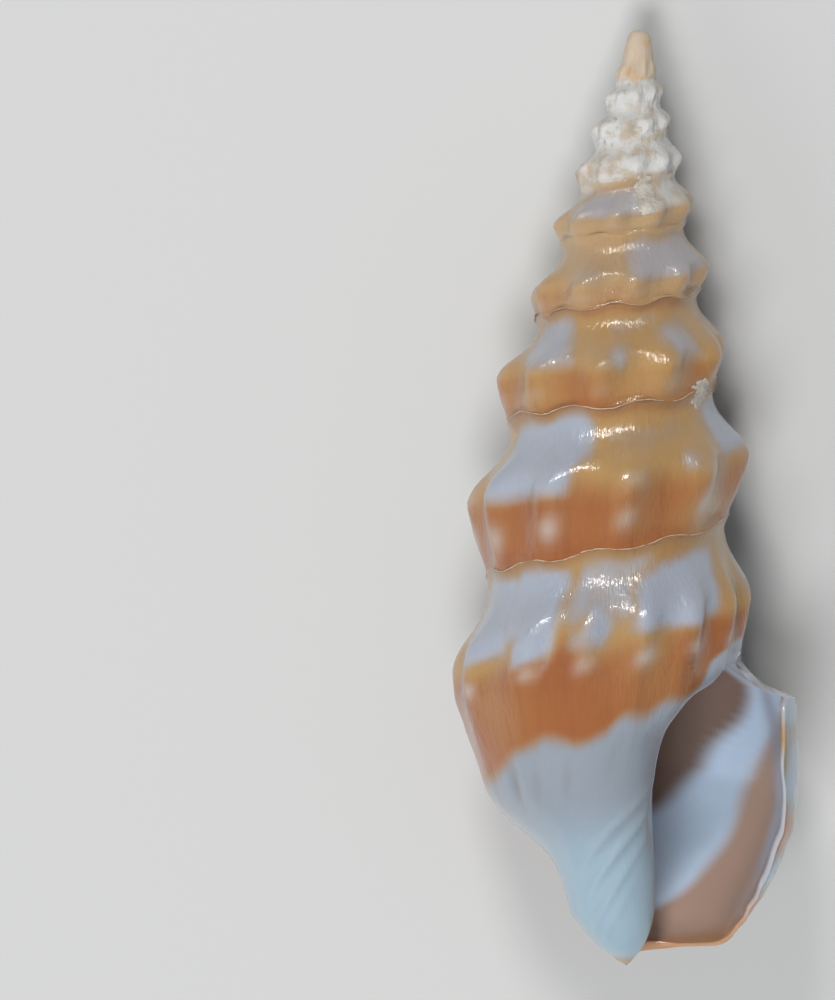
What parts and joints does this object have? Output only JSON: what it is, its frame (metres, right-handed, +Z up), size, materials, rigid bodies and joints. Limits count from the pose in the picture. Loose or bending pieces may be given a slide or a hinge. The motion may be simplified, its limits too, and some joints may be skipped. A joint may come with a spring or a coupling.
{
  "type": "sea snail shell, splendrillia laeta",
  "caption": "Tall ribbed spiral sea snail shell lying on its back, with a long body whorl, flared thin lip, notch below the suture and an open aperture and canal.",
  "frame": {"origin": "middle of the bounding box in plan, on the surface it rests on", "axes": "+Z up, out of the aperture side; +Y towards the apex; +X towards the outer lip"},
  "size_m": [0.0074, 0.0198, 0.0063],
  "materials": {
    "shell": "natural shell gloss, orange-brown and bluish white bands"
  },
  "bodies": {
    "root": {"shell": "shell"}
  },
  "joints": []
}
